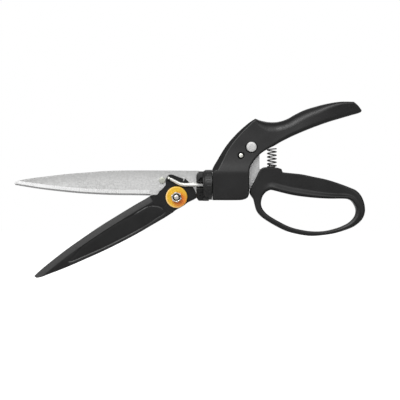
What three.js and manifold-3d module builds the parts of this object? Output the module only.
// Grass shears with a swivelling blade head, squeezed by a closed-loop lower handle.
// Millimetres. +X runs from the blade tips (front) to the handle ends, +Z is up. The hex nut is
// on the -Y side ("nut side"); +Y is the "far side". The origin is near the middle of the
// open tool's bounding box.
//
// Mechanism: squeezing the loop handle turns the lever plate about the lever rivet. The lower
// end of the plate pulls the ball end of the drive rod, the rod runs along the swivel axis
// through the hollow spigot of the head, and its hooked front end turns the moving blade.

import * as THREE from "three";
import { mergeVertices } from "three/addons/utils/BufferGeometryUtils.js";
import Module from "manifold-3d";

const wasm = await Module();
wasm.setup();

// ---------------------------------------------------------------- driving dimensions
// Pairs named _X, _Y or _Z are the two ends of a span. Places are [x, z].
const AXIS_Z = 5.2; // height of the swivel axis, which lies in the plane Y = 0
const PIVOT = [-12.5, -7.2]; // blade pivot
const HOOK = [-20.3, 12]; // rod hook in the tail of the moving blade
const RIVET = [62.2, 42.8]; // lever pivot
const BALL_X = 50.95; // centre of the rod's ball end, blades open
const SQUEEZE_DEG = 17.9; // travel of the loop handle
const CLOSE_DEG = 34.3; // travel of the moving blade
const ROD_TRAVEL = 12.177;
const FIT = 0.12; // gap between close-fitting parts

const ROD_R = 1.7;
const BALL_R = 4.2;
const MOVING_Y = [1.95, 4.05]; // moving blade
const FIXED_Y = [4.2, 6.6]; // fixed blade
const BOLT_R = 2.95; // blade pivot bolt
const PIN = [-26.8, 9.6]; // stop pin
const PIN_R = 3.3;
const PIN_SHANK_R = 2.0;

const RING_X = [14.2, 23.3]; // rotation collar
const SPIGOT_R = 8.0;
const GROOVE_X = [32.7, 33.9]; // retaining ring groove in the spigot
const SLEEVE_R = [8.2, 10.0]; // bearing sleeve, bore and outside
const SLEEVE_X = [24.3, 32.2];
const DETENT_Z = AXIS_Z + 13.6; // detent ball and spring

const PLATE_HALF = 1.5; // half thickness of the lever plate
const RIVET_HOLE_R = 2.75;
const SPRING_X = 82.85; // axis of the upright return spring
const SPRING_Z = [22.7, 41.9];
const SPRING_R = 4.4; // mean radius of the coil
const SPRING_POST_R = SPRING_R - 1.1;

// ---------------------------------------------------------------- solids
function solid(geometry) {
  geometry.deleteAttribute("normal");
  geometry.deleteAttribute("uv");
  const merged = mergeVertices(geometry, 1e-5);
  const index = merged.index.array;
  const triVerts = [];
  for (let i = 0; i < index.length; i += 3) {
    const [a, b, c] = index.slice(i, i + 3);
    if (a !== b && b !== c && a !== c) triVerts.push(a, b, c);
  }
  return new wasm.Manifold(
    new wasm.Mesh({
      numProp: 3,
      vertProperties: new Float32Array(merged.attributes.position.array),
      triVerts: new Uint32Array(triVerts),
    }),
  );
}

const union = (...parts) => parts.reduce((a, b) => a.add(b));
const shapeOf = (points) => new THREE.Shape(points.map(([x, y]) => new THREE.Vector2(x, y)));
const widened = ([low, high], gap) => [low - gap, high + gap];

// A profile in X and Z, extruded across Y from y0 to y1.
function sidePrism(points, y0, y1, { bevel = 0, bevelSegments = 2, bevelOffset = -bevel } = {}) {
  const geometry = new THREE.ExtrudeGeometry(shapeOf(points), {
    depth: y1 - y0 - 2 * bevel,
    bevelEnabled: bevel > 0,
    bevelThickness: bevel,
    bevelSize: bevel,
    bevelOffset,
    bevelSegments,
  });
  geometry.rotateX(Math.PI / 2);
  geometry.translate(0, y1 - bevel, 0);
  return solid(geometry);
}

// A plain prism whose local frame is placed by a matrix.
function placedPrism(points, depth, matrix) {
  const geometry = new THREE.ExtrudeGeometry(shapeOf(points), { depth, bevelEnabled: false });
  return solid(geometry.applyMatrix4(matrix));
}

// A profile in Y and Z, extruded along X.
function lengthPrism(points, x0, x1) {
  const matrix = new THREE.Matrix4().set(0, 0, 1, x0, 1, 0, 0, 0, 0, 1, 0, 0, 0, 0, 0, 1);
  return placedPrism(points, x1 - x0, matrix);
}

// A profile in X and Y, extruded up Z.
const planPrism = (points, z0, z1) =>
  placedPrism(points, z1 - z0, new THREE.Matrix4().makeTranslation(0, 0, z0));

// radius is at y0 and endRadius at y1.
function cylinderY(radius, y0, y1, [x, z], segments = 28, endRadius = radius) {
  const geometry = new THREE.CylinderGeometry(endRadius, radius, y1 - y0, segments);
  return solid(geometry.translate(x, (y0 + y1) / 2, z));
}

// A cylinder along X in the plane Y = 0.
function cylinderX(radius, x0, x1, segments, z = AXIS_Z) {
  const geometry = new THREE.CylinderGeometry(radius, radius, x1 - x0, segments);
  geometry.rotateZ(-Math.PI / 2);
  return solid(geometry.translate((x0 + x1) / 2, 0, z));
}

// A cylinder on the axis of the return spring.
function springCylinder(radius, z0, z1, segments) {
  const geometry = new THREE.CylinderGeometry(radius, radius, z1 - z0, segments);
  geometry.rotateX(Math.PI / 2);
  return solid(geometry.translate(SPRING_X, 0, (z0 + z1) / 2));
}

function box([x0, x1], [y0, y1], [z0, z1]) {
  const geometry = new THREE.BoxGeometry(x1 - x0, y1 - y0, z1 - z0);
  return solid(geometry.translate((x0 + x1) / 2, (y0 + y1) / 2, (z0 + z1) / 2));
}

// A ball with its poles along X.
function ball(radius, [x, y, z], widthSegments, heightSegments) {
  const geometry = new THREE.SphereGeometry(radius, widthSegments, heightSegments);
  geometry.rotateZ(-Math.PI / 2);
  return solid(geometry.translate(x, y, z));
}

// A body of revolution about the swivel axis. The profile is [radius, x]; it starts and ends
// on the axis or closes on itself.
function spun(profile, segments = 40) {
  const points = profile.map(([radius, x]) => new THREE.Vector2(radius, x));
  const geometry = new THREE.LatheGeometry(points, segments);
  geometry.rotateZ(-Math.PI / 2); // the lathe's +Y becomes +X
  return solid(geometry.translate(0, 0, AXIS_Z));
}

const tube = ([inner, outer], [x0, x1], segments) =>
  spun([[inner, x0], [outer, x0], [outer, x1], [inner, x1], [inner, x0]], segments);

// A round bar between two points.
function bar(start, end, radius, segments = 14) {
  const from = new THREE.Vector3(...start);
  const to = new THREE.Vector3(...end);
  const run = to.clone().sub(from);
  const middle = from.clone().add(to).multiplyScalar(0.5);
  const geometry = new THREE.CylinderGeometry(radius, radius, run.length(), segments);
  const up = new THREE.Vector3(0, 1, 0);
  geometry.applyQuaternion(new THREE.Quaternion().setFromUnitVectors(up, run.normalize()));
  return solid(geometry.translate(...middle.toArray()));
}

// Turns an [x, z] point about another; positive goes from +Z towards +X.
function turned([x, z], [centreX, centreZ], degrees) {
  const angle = (degrees * Math.PI) / 180;
  const dx = x - centreX;
  const dz = z - centreZ;
  return [
    centreX + dx * Math.cos(angle) + dz * Math.sin(angle),
    centreZ - dx * Math.sin(angle) + dz * Math.cos(angle),
  ];
}

// Joins the solids that solidAt gives at even steps of a travel, from 0 to 1.
const swept = (steps, solidAt) =>
  union(...Array.from({ length: steps + 1 }, (_, i) => solidAt(i / steps)));

// Grows a side prism in its own plane by joining copies moved eight ways.
function grownPrism(points, y0, y1, growth) {
  const copies = Array.from({ length: 8 }, (_, i) => {
    const angle = (Math.PI * i) / 4;
    const [dx, dz] = [growth * Math.cos(angle), growth * Math.sin(angle)];
    return sidePrism(points.map(([x, z]) => [x + dx, z + dz]), y0, y1);
  });
  return union(sidePrism(points, y0, y1), ...copies);
}

// Cutter for a ground bevel on the face at faceY, along a line of [x, z] edge points. The cut
// is "depth" deep (signed, along Y) at the edge and runs out "width" inside it. bladeSide is
// +1 if the blade lies left of the travel, seen with +X right and +Z up, and -1 if right.
function bevelCutter(edge, { width, faceY, depth, bladeSide }) {
  const overrun = 1.2; // past both ends of each segment
  const outside = 2; // beyond the edge, away from the blade
  const clearY = faceY - Math.sign(depth) * 1.5;
  // section: [distance inside the edge, y]
  const section = [
    [-outside, faceY + depth * (1 + outside / width)],
    [width, faceY],
    [width, clearY],
    [-outside, clearY],
  ];
  const wedges = edge.slice(1).map(([endX, endZ], i) => {
    const [startX, startZ] = edge[i];
    const length = Math.hypot(endX - startX, endZ - startZ);
    const scale = bladeSide / length;
    const inward = new THREE.Vector3((startZ - endZ) * scale, 0, (endX - startX) * scale);
    const across = new THREE.Vector3(0, 1, 0);
    const travel = inward.clone().cross(across);
    const half = length / 2 + overrun;
    const matrix = new THREE.Matrix4()
      .makeBasis(inward, across, travel)
      .setPosition(
        (startX + endX) / 2 - travel.x * half,
        0,
        (startZ + endZ) / 2 - travel.z * half,
      );
    return placedPrism(section, 2 * half, matrix);
  });
  return union(...wedges);
}

// ---------------------------------------------------------------- blades
// Outlines and edges are [x, z]. The edges run from the tip back.
const FIXED_EDGE = [
  [-172.8, 4.5], [-166.5, 3.4], [-148.5, 0.6], [-130.5, -1.5], [-112.5, -3.3],
  [-94.5, -4.5], [-76.5, -5.2], [-58.5, -5.4], [-39, -5.5],
];
const FIXED_OUTLINE = [
  // tip and top edge
  [-174.5, 5.3], [-174.8, 6], [-174.8, 7.4], [-174.2, 8.2], [-172.8, 8.7], [-169.5, 9.7],
  [-157.5, 11.8], [-139.5, 14], [-121.5, 16.1], [-103.5, 17.5], [-85.5, 18.9],
  [-67.5, 19.5], [-39, 19.6], [10.2, 19.3],
  // stepped tang
  [10.2, 16.5], [13.2, 16.5], [13.2, 13.8], [19.4, 13.8], [19.4, -3.4], [13.2, -3.4],
  [13.2, -7],
  // round the pivot
  [9.4, -7], [4.2, -10.1], [0.5, -11.7], [-5, -14.2], [-12.5, -17.6], [-21, -17.6],
  [-28, -14.2], [-34, -9],
  ...FIXED_EDGE.toReversed(),
];
const MOVING_EDGE = [
  [-151.9, -82.9], [-142.9, -75.2], [-124.8, -61], [-106.8, -48.2], [-88.8, -36.1],
  [-70.8, -24.9], [-52.8, -14], [-43.7, -8.9], [-38.1, -5.4],
];
const MOVING_OUTLINE = [
  // tip
  [-151.6, -87.9], [-153.2, -87.6], [-154.4, -86.9], [-154.8, -86], [-153.8, -84.8],
  ...MOVING_EDGE,
  // tail and round the pivot
  [-33.8, -4.3], [-27.6, 0.3], [-23.3, 4.9], [-23.3, 10.2], [-21.5, 14], [-18.4, 15.6],
  [-14, 14.4], [-10, 12.9], [-5.7, 11.3], [-6, 8.8], [-5.1, 8.7], [-4.2, 11.7],
  [-3.8, 11.4], [-0.1, 7.9], [4.3, 2.2], [6.4, -2.8], [6.9, -8],
  // lower edge, back to the tip
  [-0.7, -12.2], [-6, -16.1], [-12.9, -19.9], [-16.3, -22.6], [-25.3, -28.3],
  [-34.3, -33.5], [-52.3, -44], [-70.3, -53.5], [-88.4, -62.3], [-106.4, -70.3],
  [-124.4, -78.1], [-142.4, -85], [-146.6, -86.7], [-149, -87.4],
];

function fixedBlade() {
  const bevel = { width: 5.2, faceY: FIXED_Y[1], depth: -1.7, bladeSide: 1 };
  return sidePrism(FIXED_OUTLINE, ...FIXED_Y)
    .subtract(bevelCutter(FIXED_EDGE, bevel))
    .subtract(cylinderY(BOLT_R + 0.1, 0, 12, PIVOT))
    .subtract(cylinderY(PIN_SHANK_R + 0.1, 0, 12, PIN, 20));
}

function movingBlade() {
  const bevel = { width: 6.0, faceY: MOVING_Y[0], depth: 1.6, bladeSide: -1 };
  // paths of the stop pin and the rod hook, seen from the blade; the hook's is a short slot
  const pinPath = swept(8, (part) =>
    cylinderY(PIN_R + 0.3, 1, 5, turned(PIN, PIVOT, -CLOSE_DEG * part)));
  const hookPath = swept(6, (part) => {
    const hook = [HOOK[0] + ROD_TRAVEL * part, HOOK[1]];
    return cylinderY(ROD_R + 0.25, 1, 5, turned(hook, PIVOT, -CLOSE_DEG * part), 20);
  });
  return sidePrism(MOVING_OUTLINE, ...MOVING_Y)
    .subtract(bevelCutter(MOVING_EDGE, bevel))
    .subtract(cylinderY(BOLT_R + 0.15, 0, 8, PIVOT))
    .subtract(pinPath)
    .subtract(hookPath);
}

function stopPin() {
  return union(
    cylinderY(PIN_R, 2.1, FIXED_Y[0] - 0.05, PIN, 24),
    cylinderY(PIN_SHANK_R, 3.5, FIXED_Y[1] + 0.1, PIN, 20),
    cylinderY(3.0, FIXED_Y[1] + 0.05, FIXED_Y[1] + 1.0, PIN, 24),
  );
}

// ---------------------------------------------------------------- blade pivot stack
const BOLT_END_Y = -7.6;
const BOLT_TIP_R = 2.3;
const BOLT_HEAD_R = 5.6; // across corners, halved
const DISC_R = 11;
const DISC_Y = [-1.1, 1.8];
const NUT_FLATS = 9.4; // across flats
const NUT_Y = [-5.9, -1.25];

function pivotBolt() {
  return union(
    cylinderY(BOLT_R, BOLT_END_Y + 0.8, FIXED_Y[1] + 1.6, PIVOT),
    cylinderY(BOLT_TIP_R, BOLT_END_Y, BOLT_END_Y + 0.85, PIVOT, 28, BOLT_R),
    cylinderY(BOLT_HEAD_R, FIXED_Y[1] + 1.2, FIXED_Y[1] + 3.4, PIVOT, 6),
  );
}

function pivotWasher() {
  return cylinderY(6.2, FIXED_Y[1] + 0.1, FIXED_Y[1] + 1.1, PIVOT, 32)
    .subtract(cylinderY(BOLT_R + 0.2, 5, 12, PIVOT));
}

// Disc with a chamfer on the nut side.
function pivotDisc() {
  return union(
    cylinderY(DISC_R, DISC_Y[0] + 0.8, DISC_Y[1], PIVOT, 36),
    cylinderY(DISC_R - 1.1, DISC_Y[0], DISC_Y[0] + 0.85, PIVOT, 36, DISC_R),
  ).subtract(cylinderY(BOLT_R + 0.15, -4, 4, PIVOT));
}

// Hex nut with its outer corners chamfered by a cone.
function pivotNut() {
  const radius = NUT_FLATS / Math.sqrt(3);
  const hex = new THREE.CylinderGeometry(radius, radius, NUT_Y[1] - NUT_Y[0], 6);
  hex.rotateY((20 * Math.PI) / 180);
  hex.translate(PIVOT[0], (NUT_Y[0] + NUT_Y[1]) / 2, PIVOT[1]);
  const envelope = union(
    cylinderY(radius - 0.75, NUT_Y[0] - 0.01, NUT_Y[0] + 1.2, PIVOT, 30, radius + 0.35),
    cylinderY(radius + 1, NUT_Y[0] + 1.19, NUT_Y[1] + 1, PIVOT, 30),
  );
  return solid(hex).intersect(envelope).subtract(cylinderY(BOLT_R + 0.1, -9, 0, PIVOT));
}

// ---------------------------------------------------------------- swivel head
const NOSE_X = 7.6; // front face of the carrier
const NOSE_Z = [-10.9, 18.6];
const CORE_R = 12.0; // carrier inside the collar
const SPIGOT_END = 34.6;
const ROD_BORE = 2.4; // radius
const RING_R = 15.0;
const RING_BORE = 12.2; // radius

// side view of the nose, [x, z]: a block with its corners taken off
const NOSE_SIDE = [
  [NOSE_X, -7.6], [9.9, NOSE_Z[0]], [14.1, NOSE_Z[0]], [14.1, NOSE_Z[1]],
  [10.4, NOSE_Z[1]], [NOSE_X, 15],
];
// end view of the nose, [y, z]: crowned on the nut side
const NOSE_CROWN = [
  [-7.0, NOSE_Z[0]], [-8.1, -7], [-9.3, 3], [-8.7, 10], [-6.6, NOSE_Z[1]],
  [14.4, NOSE_Z[1]], [14.4, NOSE_Z[0]],
];
// slots for the shoulder and the two steps of the blade's tang: x span, z span
const TANG_SLOTS = [
  [[NOSE_X - 1, 10.4], [-11.7, 19.6]],
  [[NOSE_X - 1, 13.5], [-7.3, 16.8]],
  [[13, 19.7], [-3.7, 14.1]],
];

function headCarrier() {
  const noseSpan = [NOSE_X - 1, RING_X[0]];
  const nose = sidePrism(NOSE_SIDE, -16, 16)
    .intersect(lengthPrism(NOSE_CROWN, ...noseSpan))
    .intersect(cylinderX(16.1, ...noseSpan, 48));
  const coreAndSpigot = spun([
    [0, RING_X[0] - 2],
    [CORE_R, RING_X[0] - 2],
    [CORE_R, RING_X[1]],
    [SPIGOT_R, RING_X[1]],
    [SPIGOT_R, GROOVE_X[0]],
    [SPIGOT_R - 0.9, GROOVE_X[0]],
    [SPIGOT_R - 0.9, GROOVE_X[1]],
    [SPIGOT_R, GROOVE_X[1]],
    [SPIGOT_R, SPIGOT_END],
    [0, SPIGOT_END],
  ]);
  let carrier = nose
    .add(coreAndSpigot)
    .subtract(cylinderX(ROD_BORE, NOSE_X - 2, SPIGOT_END + 2, 20));
  for (const [xSpan, zSpan] of TANG_SLOTS) {
    carrier = carrier.subtract(box(xSpan, widened(FIXED_Y, FIT), zSpan));
  }
  // channel the rod lies in, flared towards the nut side, where it is open
  const channel = [
    [0, AXIS_Z - 2.2], [0, AXIS_Z + 2.2], [-10, AXIS_Z + 2.6], [-10, AXIS_Z - 4.6],
  ];
  const windowAbove = box([9.2, 13.3], [-20, -3.2], [8.8, 12.4]);
  return carrier
    .subtract(lengthPrism(channel, NOSE_X - 1, RING_X[0] - 0.08))
    .subtract(windowAbove);
}

// Fluted ring with a detent groove in its rear face.
function rotationCollar() {
  const fluteCount = 12;
  const fluteAxisR = RING_R + 0.75;
  let ring = spun([
    [RING_BORE, RING_X[0]],
    [RING_R - 0.8, RING_X[0]],
    [RING_R, RING_X[0] + 0.8],
    [RING_R, RING_X[1] - 0.4],
    [RING_R - 0.4, RING_X[1]],
    [14.6, RING_X[1]],
    [14.3, RING_X[1] - 0.6],
    [12.9, RING_X[1] - 0.6],
    [12.5, RING_X[1]],
    [RING_BORE, RING_X[1]],
    [RING_BORE, RING_X[0]],
  ]);
  for (let i = 0; i < fluteCount; i++) {
    const angle = (2 * Math.PI * (i + 0.5)) / fluteCount;
    const y = fluteAxisR * Math.sin(angle);
    const z = AXIS_Z + fluteAxisR * Math.cos(angle);
    ring = ring.subtract(bar([RING_X[0] + 2.6, y, z], [RING_X[1] - 2.0, y, z], 1.3, 8));
  }
  // lug under the ring, level with the bottom of the nose
  return ring.add(box([RING_X[0], 19.8], [-6.5, 6.5], [NOSE_Z[0], AXIS_Z - 13.4]));
}

// Retaining ring in the spigot's groove, open at the bottom.
function retainingRing() {
  return tube([SPIGOT_R - 0.8, 9.6], widened(GROOVE_X, -0.15), 36)
    .subtract(box([32, 35], [-2.6, 2.6], [AXIS_Z - 12, AXIS_Z - 5]));
}

// ---------------------------------------------------------------- drive rod
// The front end rises to a knee, then turns across Y into the moving blade.
function driveRod() {
  const jointR = ROD_R * 1.002;
  const bend = [-7.8, 0, AXIS_Z];
  const knee = [HOOK[0], 0, HOOK[1]];
  return union(
    bar([HOOK[0], MOVING_Y[1], HOOK[1]], knee, ROD_R),
    ball(jointR, knee, 12, 8),
    bar(knee, bend, ROD_R),
    ball(jointR, bend, 12, 8),
    bar(bend, [BALL_X + 1.8, 0, AXIS_Z], ROD_R),
  );
}

function rodBallEnd() {
  return ball(BALL_R, [BALL_X, 0, AXIS_Z], 18, 12)
    .subtract(cylinderX(ROD_R + FIT, BALL_X - 6, BALL_X + 2.1, 16));
}

const rodLockNut = () =>
  cylinderX(4.0, 37.6, 40.4, 6).subtract(cylinderX(ROD_R + FIT, 35, 43, 16));

// ---------------------------------------------------------------- lever
// [x, z]
const PLATE_OUTLINE = [
  [54.1, 45.5], [55.9, 49], [59, 50.8], [62.2, 51.3], [65.6, 50.6], [68.6, 48.4],
  [70.3, 45], [70.4, 40], [70.4, 21.5], [73.5, 17.4], [83, 15.8], [102, 10.5], [102, 5],
  [83, 6.4], [73, 4.4], [67, 2], [61.5, 1.4], [57.2, -2.6], [51, -4], [45.4, -2.8],
  [42.4, 1.5], [42.4, 8], [44.6, 13.8], [52, 23.8], [56, 29.5], [56.2, 36.8], [54.2, 40],
];
const BUSH_R = 3.95;

function leverPlate() {
  const slotHalf = ROD_R + 0.3;
  // the ball's path seen from the plate, with a slot to the front for the rod
  const pocket = swept(6, (part) => {
    const fromPlate = (point) => turned(point, RIVET, SQUEEZE_DEG * part);
    const ballX = BALL_X + ROD_TRAVEL * part;
    const rodSlot = [
      [ballX - 16, AXIS_Z - slotHalf],
      [ballX, AXIS_Z - slotHalf],
      [ballX, AXIS_Z + slotHalf],
      [ballX - 16, AXIS_Z + slotHalf],
    ];
    return union(
      cylinderY(BALL_R + 0.3, -3, 3, fromPlate([ballX, AXIS_Z])),
      sidePrism(rodSlot.map(fromPlate), -3, 3),
    );
  });
  return sidePrism(PLATE_OUTLINE, -PLATE_HALF, PLATE_HALF)
    .subtract(cylinderY(BUSH_R + 0.2, -3, 3, RIVET))
    .subtract(pocket);
}

// The rivet's heads sit in recesses on both sides of the body.
function leverRivet() {
  return union(
    cylinderY(2.6, -12.2, 12.2, RIVET, 20),
    cylinderY(5.0, -12.9, -11.8, RIVET, 32),
    cylinderY(5.0, 11.8, 12.9, RIVET, 32),
  );
}

const leverBush = () =>
  cylinderY(BUSH_R, -2.1, 2.1, RIVET).subtract(cylinderY(RIVET_HOLE_R, -4, 4, RIVET, 24));

// ---------------------------------------------------------------- loop handle
const LOOP_HALF = 11.0; // half thickness
const RIM_BEVEL = 1.6; // eased rims of the finger opening
// [x, z]
const LOOP_OUTER = [
  [70.7, 19.8], [73.3, 22.1], [76.5, 22.7], [82.5, 22.7], [88.5, 21.8], [92, 20.4],
  [94.6, 17.7], [100.5, 16.9], [112.5, 15.6], [124.5, 13.1], [136.5, 10.6], [148.5, 6.9],
  [160.5, 2.4], [166.5, -0.3], [171, -4.8], [174, -10.8], [175.4, -17.5], [175.2, -23],
  [172.8, -28.8], [169, -33], [163.5, -36.8], [157.5, -39.3], [145.5, -43.1],
  [133.5, -45], [121.5, -45.5], [109.5, -44], [97.5, -40.7], [85.5, -35], [75, -28.8],
  [70, -24.4], [67.3, -20.2], [65.5, -14], [64.2, -9], [61.9, -5.6], [60.6, -2.3],
  [61.9, 2.8], [64.5, 7.4],
];
const LOOP_INNER = [
  [71.9, -12], [73.3, -6.6], [76.2, -2.6], [79.5, -0.6], [82.5, 0], [91.5, -2.2],
  [103.5, -5], [115.5, -6.8], [127.5, -8], [141, -8.7], [157, -8.8], [161.5, -10.2],
  [164.4, -13.4], [166.7, -18.2], [167.1, -21.5], [166.2, -25.6], [162.6, -30.6],
  [157.5, -34.3], [148.5, -38.1], [136.5, -41], [124.5, -41.8], [112.5, -40.3],
  [100.5, -37.2], [88.5, -31.2], [78.5, -24.6], [73.8, -19.6], [72.1, -15.6],
];

function loopHandle() {
  const rim = { bevel: RIM_BEVEL, bevelOffset: 0 };
  const rimY = LOOP_HALF - RIM_BEVEL;
  const plateY = widened([-PLATE_HALF, PLATE_HALF], FIT);
  const seatZ = SPRING_Z[0];
  return sidePrism(LOOP_OUTER, -LOOP_HALF, LOOP_HALF, { bevel: 2.0 })
    .subtract(sidePrism(LOOP_INNER, -LOOP_HALF - 1, LOOP_HALF + 1))
    .subtract(sidePrism(LOOP_INNER, rimY, LOOP_HALF + 4, rim))
    .subtract(sidePrism(LOOP_INNER, -LOOP_HALF - 4, -rimY, rim))
    .subtract(grownPrism(PLATE_OUTLINE, ...plateY, 0.3))
    // spring seat with a locating post
    .subtract(springCylinder(SPRING_R + 1.4, seatZ - 0.25, seatZ + 8, 28))
    .add(springCylinder(SPRING_POST_R, seatZ - 1.5, seatZ + 2.6, 20));
}

// ---------------------------------------------------------------- body shells
const BODY_HALF = 15.5; // half thickness of the bearing housing
const HANDLE_HALF = 10.6; // half thickness of the upper handle near its top
const SEAM = 0.05; // half gap between the two shells
// side view, [x, z]
const BODY_OUTLINE = [
  [23.5, -10.2], [23.5, 17.4], [23.3, 20.6], [25, 24.3], [28.2, 29.6], [34.2, 39.7],
  [40.2, 48], [46.2, 54.7], [52.2, 60.6], [58.3, 65.8], [62.8, 69.1], [66.3, 71.2],
  [70.6, 69.7], [79.5, 68], [88.5, 68.1], [97.4, 70.6], [106.4, 75.6], [115.4, 79.9],
  [127.4, 83.6], [139.4, 86.4], [151.5, 88], [163, 87.8], [168.5, 84.7], [172.3, 79.4],
  [171.4, 77.6], [163.5, 75.2], [151.5, 71.7], [139.5, 68.1], [127.6, 63.9],
  [115.6, 59.2], [103.6, 54], [91.6, 48], [86.1, 44.7], [79.6, 41.4], [73.5, 37.7],
  [67.5, 32.4], [62.6, 26], [60.2, 19.5], [60, -2], [58.5, -7.2], [55, -9.4], [49, -10.2],
];
// end view, [half width, z]: upright housing below, leaning in towards the handle's top
const BODY_WEDGE = [
  [12.4, AXIS_Z - 16], [BODY_HALF, AXIS_Z - 12], [BODY_HALF, 18.5],
  [HANDLE_HALF + 2.1, 40], [HANDLE_HALF, 80], [HANDLE_HALF - 1.4, 90],
];
// plan view, [x, half width]: narrower towards the handle's end
const BODY_PLAN = [[16, 17], [73, 17], [111, 11.2], [163, 10.2], [170, 7.4], [175, 4.5]];
// slot the lever plate swings in, [x, z]
const LEVER_SLOT = [
  [40.8, -4.8], [40.8, 9], [43.5, 14.6], [50.9, 24.6], [54.9, 30.2], [55, 35.6],
  [52.6, 40.4], [52.8, 46.4], [55.4, 50.6], [59, 52.4], [62.2, 52.9], [67, 52.1],
  [71.4, 48.8], [73.9, 43.6], [75.6, 37], [75, 30], [67, -6], [61, -7.5], [47, -6.4],
];
// hollows in the upper front of the body and in the handle, outline in [x, z]
const HOLLOWS = [
  {
    half: 8.6,
    outline: [
      [28.8, 19.4], [33, 26.5], [37, 33.5], [44, 43], [53, 52], [60, 59], [66.5, 64.4],
      [73, 63.8], [73, 56.5], [58, 56], [49.6, 47.4], [48.4, 37.5], [46.4, 28.5],
      [40.5, 19.4],
    ],
  },
  {
    half: 8.0,
    outline: [
      [79, 63.6], [90, 64], [100, 67.4], [102.5, 58.6], [92, 53.4], [81, 47.6], [78, 52],
    ],
  },
  {
    half: 7.4,
    outline: [
      [112, 73.4], [123, 77.8], [145, 82.6], [148.5, 76], [127, 68.6], [114.5, 63.6],
    ],
  },
];
// headSide: -1 is the nut side, +1 the far side; seat: the head's distance from the seam
const SCREWS = [
  { name: "shell_screw_front", place: [51.8, 34.2], headSide: -1, seat: 12.0 },
  { name: "shell_screw_rear_1", place: [38, 16.8], headSide: 1, seat: 12.6 },
  { name: "shell_screw_rear_2", place: [107, 65], headSide: 1, seat: 8.2 },
  { name: "shell_screw_rear_3", place: [155.5, 79.8], headSide: 1, seat: 7.6 },
];

// A Y span given outwards from the seam on one side.
const spanOn = (headSide, low, high) => (headSide < 0 ? [-high, -low] : [low, high]);

function wholeBody() {
  const mirroredWedge = BODY_WEDGE.map(([y, z]) => [-y, z]).reverse();
  const mirroredPlan = BODY_PLAN.map(([x, y]) => [x, -y]).reverse();
  const blankHalf = BODY_HALF + 0.4;
  const springTop = SPRING_Z[1];
  let body = sidePrism(BODY_OUTLINE, -blankHalf, blankHalf, { bevel: 1.6, bevelSegments: 1 })
    .intersect(lengthPrism([...BODY_WEDGE, ...mirroredWedge], 16, 181))
    .intersect(planPrism([...BODY_PLAN, ...mirroredPlan], -20, 100))
    // sleeve bore, then the cavity for washer, retaining ring, lock nut and ball
    .subtract(cylinderX(SLEEVE_R[1] + FIT, 22, SLEEVE_X[1], 40))
    .subtract(cylinderX(10.9, 32.15, 42, 36))
    .subtract(box([41.5, 67], [-5.6, 5.6], [-5.6, 14]))
    .subtract(sidePrism(LEVER_SLOT, -2.3, 2.3))
    // spring notch under the handle, with a post
    .subtract(springCylinder(SPRING_R + 1.5, 20, springTop + 0.25, 28))
    .add(springCylinder(SPRING_POST_R, springTop - 2.4, springTop + 2.5, 20));
  for (const { half, outline } of HOLLOWS) {
    body = body.subtract(sidePrism(outline, -half, half));
  }
  body = body
    // blind hole on the seam for the detent ball and spring, open to the front
    .subtract(cylinderX(1.55, 23, 30.6, 20, DETENT_Z))
    // lever rivet hole and head recesses
    .subtract(cylinderY(RIVET_HOLE_R, -20, 20, RIVET, 24))
    .subtract(cylinderY(5.75, -20, -11.7, RIVET, 36))
    .subtract(cylinderY(5.75, 11.7, 20, RIVET, 36));
  for (const { place, headSide, seat } of SCREWS) {
    body = body
      .subtract(cylinderY(3.3, ...spanOn(headSide, seat, 20), place))
      .subtract(cylinderY(1.5, ...spanOn(headSide, -7.2, seat + 1), place, 18));
  }
  return body;
}

const shell = (body, shellSide) =>
  body.intersect(box([11, 191], spanOn(shellSide, SEAM, 30), [-40, 110]));

// Screw with a cross recess in its head.
function shellScrew({ place: [x, z], headSide, seat }) {
  const recessY = spanOn(headSide, seat + 0.8, seat + 3);
  const [long, short] = [1.5, 0.32]; // half sizes of the cross's arms
  return union(
    cylinderY(2.55, ...spanOn(headSide, seat + 0.1, seat + 1.6), [x, z], 24),
    cylinderY(1.35, ...spanOn(headSide, -6.4, seat + 0.4), [x, z], 16),
  )
    .subtract(box(widened([x, x], long), recessY, widened([z, z], short)))
    .subtract(box(widened([x, x], short), recessY, widened([z, z], long)));
}

// ---------------------------------------------------------------- springs
// A coil with closed ends. place turns two cross-axis offsets and the distance along the
// axis into [x, y, z].
class Coil extends THREE.Curve {
  constructor(coil) {
    super();
    this.coil = coil;
  }

  getPoint(t, target = new THREE.Vector3()) {
    const { start, end, radius, turns, place } = this.coil;
    const angle = 2 * Math.PI * turns * t;
    const ease = 0.16; // share of the wire at each end over which the pitch fades out
    let rise = t - ease / 2;
    if (t < ease) rise = (t * t) / (2 * ease);
    else if (t > 1 - ease) rise = 1 - ease - ((1 - t) * (1 - t)) / (2 * ease);
    const axial = start + ((end - start) * rise) / (1 - ease);
    return target.set(...place(radius * Math.cos(angle), radius * Math.sin(angle), axial));
  }
}

function wire(curve, { steps, radius, sides }) {
  const section = Array.from({ length: sides }, (_, i) => {
    const angle = (2 * Math.PI * i) / sides;
    return [radius * Math.cos(angle), radius * Math.sin(angle)];
  });
  const options = { steps, extrudePath: curve, bevelEnabled: false };
  return solid(new THREE.ExtrudeGeometry(shapeOf(section), options));
}

function returnSpring() {
  const wireR = 0.55;
  const [start, end] = widened(SPRING_Z, -wireR);
  const place = (u, v, axial) => [SPRING_X + u, v, axial];
  const curve = new Coil({ start, end, radius: SPRING_R, turns: 5.6, place });
  return wire(curve, { steps: 88, radius: wireR, sides: 7 });
}

// Lies along X behind the detent ball.
function detentSpring() {
  const place = (u, v, axial) => [axial, u, DETENT_Z + v];
  const curve = new Coil({ start: 26.15, end: 30.3, radius: 1.05, turns: 4, place });
  return wire(curve, { steps: 40, radius: 0.22, sides: 5 });
}

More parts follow.
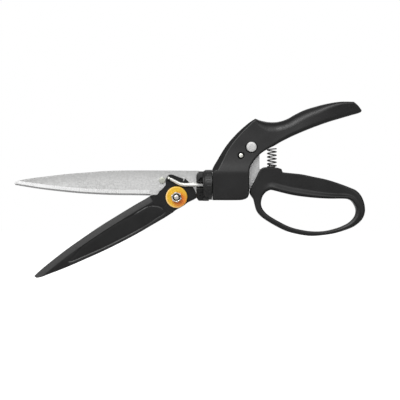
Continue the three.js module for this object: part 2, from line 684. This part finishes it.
// ---------------------------------------------------------------- materials and pieces
const LOOKS = {
  satin_steel: { color: 0xc4c4c2, roughness: 0.38, metalness: 1.0 },
  coated_black_steel: { color: 0x2a2a2b, roughness: 0.5, metalness: 0.4 },
  black_nylon: { color: 0x2e2e2e, roughness: 0.5, metalness: 0.0 },
  collar_black: { color: 0x383838, roughness: 0.55, metalness: 0.0 },
  yellow_plastic: { color: 0xeab03a, roughness: 0.45, metalness: 0.0 },
  bright_steel: { color: 0xcfcfc8, roughness: 0.25, metalness: 1.0 },
  plate_steel: { color: 0x9a9a99, roughness: 0.45, metalness: 0.9 },
  spring_steel: { color: 0x6f7072, roughness: 0.35, metalness: 1.0 },
  white_acetal: { color: 0xdedbd2, roughness: 0.5, metalness: 0.0 },
};

const group = new THREE.Group();

function addPiece(name, manifold, look) {
  const { vertProperties, triVerts } = manifold.getMesh();
  const geometry = new THREE.BufferGeometry();
  const positions = new Float32Array(vertProperties);
  geometry.setAttribute("position", new THREE.BufferAttribute(positions, 3));
  geometry.setIndex(new THREE.BufferAttribute(new Uint32Array(triVerts), 1));
  geometry.computeVertexNormals();
  const mesh = new THREE.Mesh(geometry, new THREE.MeshStandardMaterial(LOOKS[look]));
  mesh.name = name;
  group.add(mesh);
}

addPiece("fixed_blade", fixedBlade(), "satin_steel");
addPiece("moving_blade", movingBlade(), "coated_black_steel");
addPiece("stop_pin", stopPin(), "bright_steel");
addPiece("pivot_bolt", pivotBolt(), "bright_steel");
addPiece("pivot_wave_washer", pivotWasher(), "spring_steel");
addPiece("pivot_disc", pivotDisc(), "yellow_plastic");
addPiece("pivot_nut", pivotNut(), "bright_steel");
addPiece("head_carrier", headCarrier(), "collar_black");
addPiece("rotation_collar", rotationCollar(), "collar_black");
addPiece("head_bearing_sleeve", tube(SLEEVE_R, SLEEVE_X, 40), "white_acetal");
addPiece("head_thrust_washer", tube([8.15, 10.4], [32.25, 32.65], 36), "spring_steel");
addPiece("spigot_retaining_ring", retainingRing(), "spring_steel");
addPiece("detent_ball", ball(1.35, [24.5, 0, DETENT_Z], 12, 8), "bright_steel");
addPiece("drive_rod", driveRod(), "bright_steel");
addPiece("rod_ball_end", rodBallEnd(), "bright_steel");
addPiece("rod_lock_nut", rodLockNut(), "bright_steel");
addPiece("lever_plate", leverPlate(), "plate_steel");
addPiece("loop_handle", loopHandle(), "black_nylon");
const body = wholeBody();
addPiece("body_shell_front", shell(body, -1), "black_nylon");
addPiece("body_shell_rear", shell(body, 1), "black_nylon");
for (const screw of SCREWS) addPiece(screw.name, shellScrew(screw), "bright_steel");
addPiece("lever_rivet", leverRivet(), "bright_steel");
addPiece("lever_bush", leverBush(), "white_acetal");
addPiece("return_spring", returnSpring(), "spring_steel");
addPiece("detent_spring", detentSpring(), "spring_steel");

export default group;
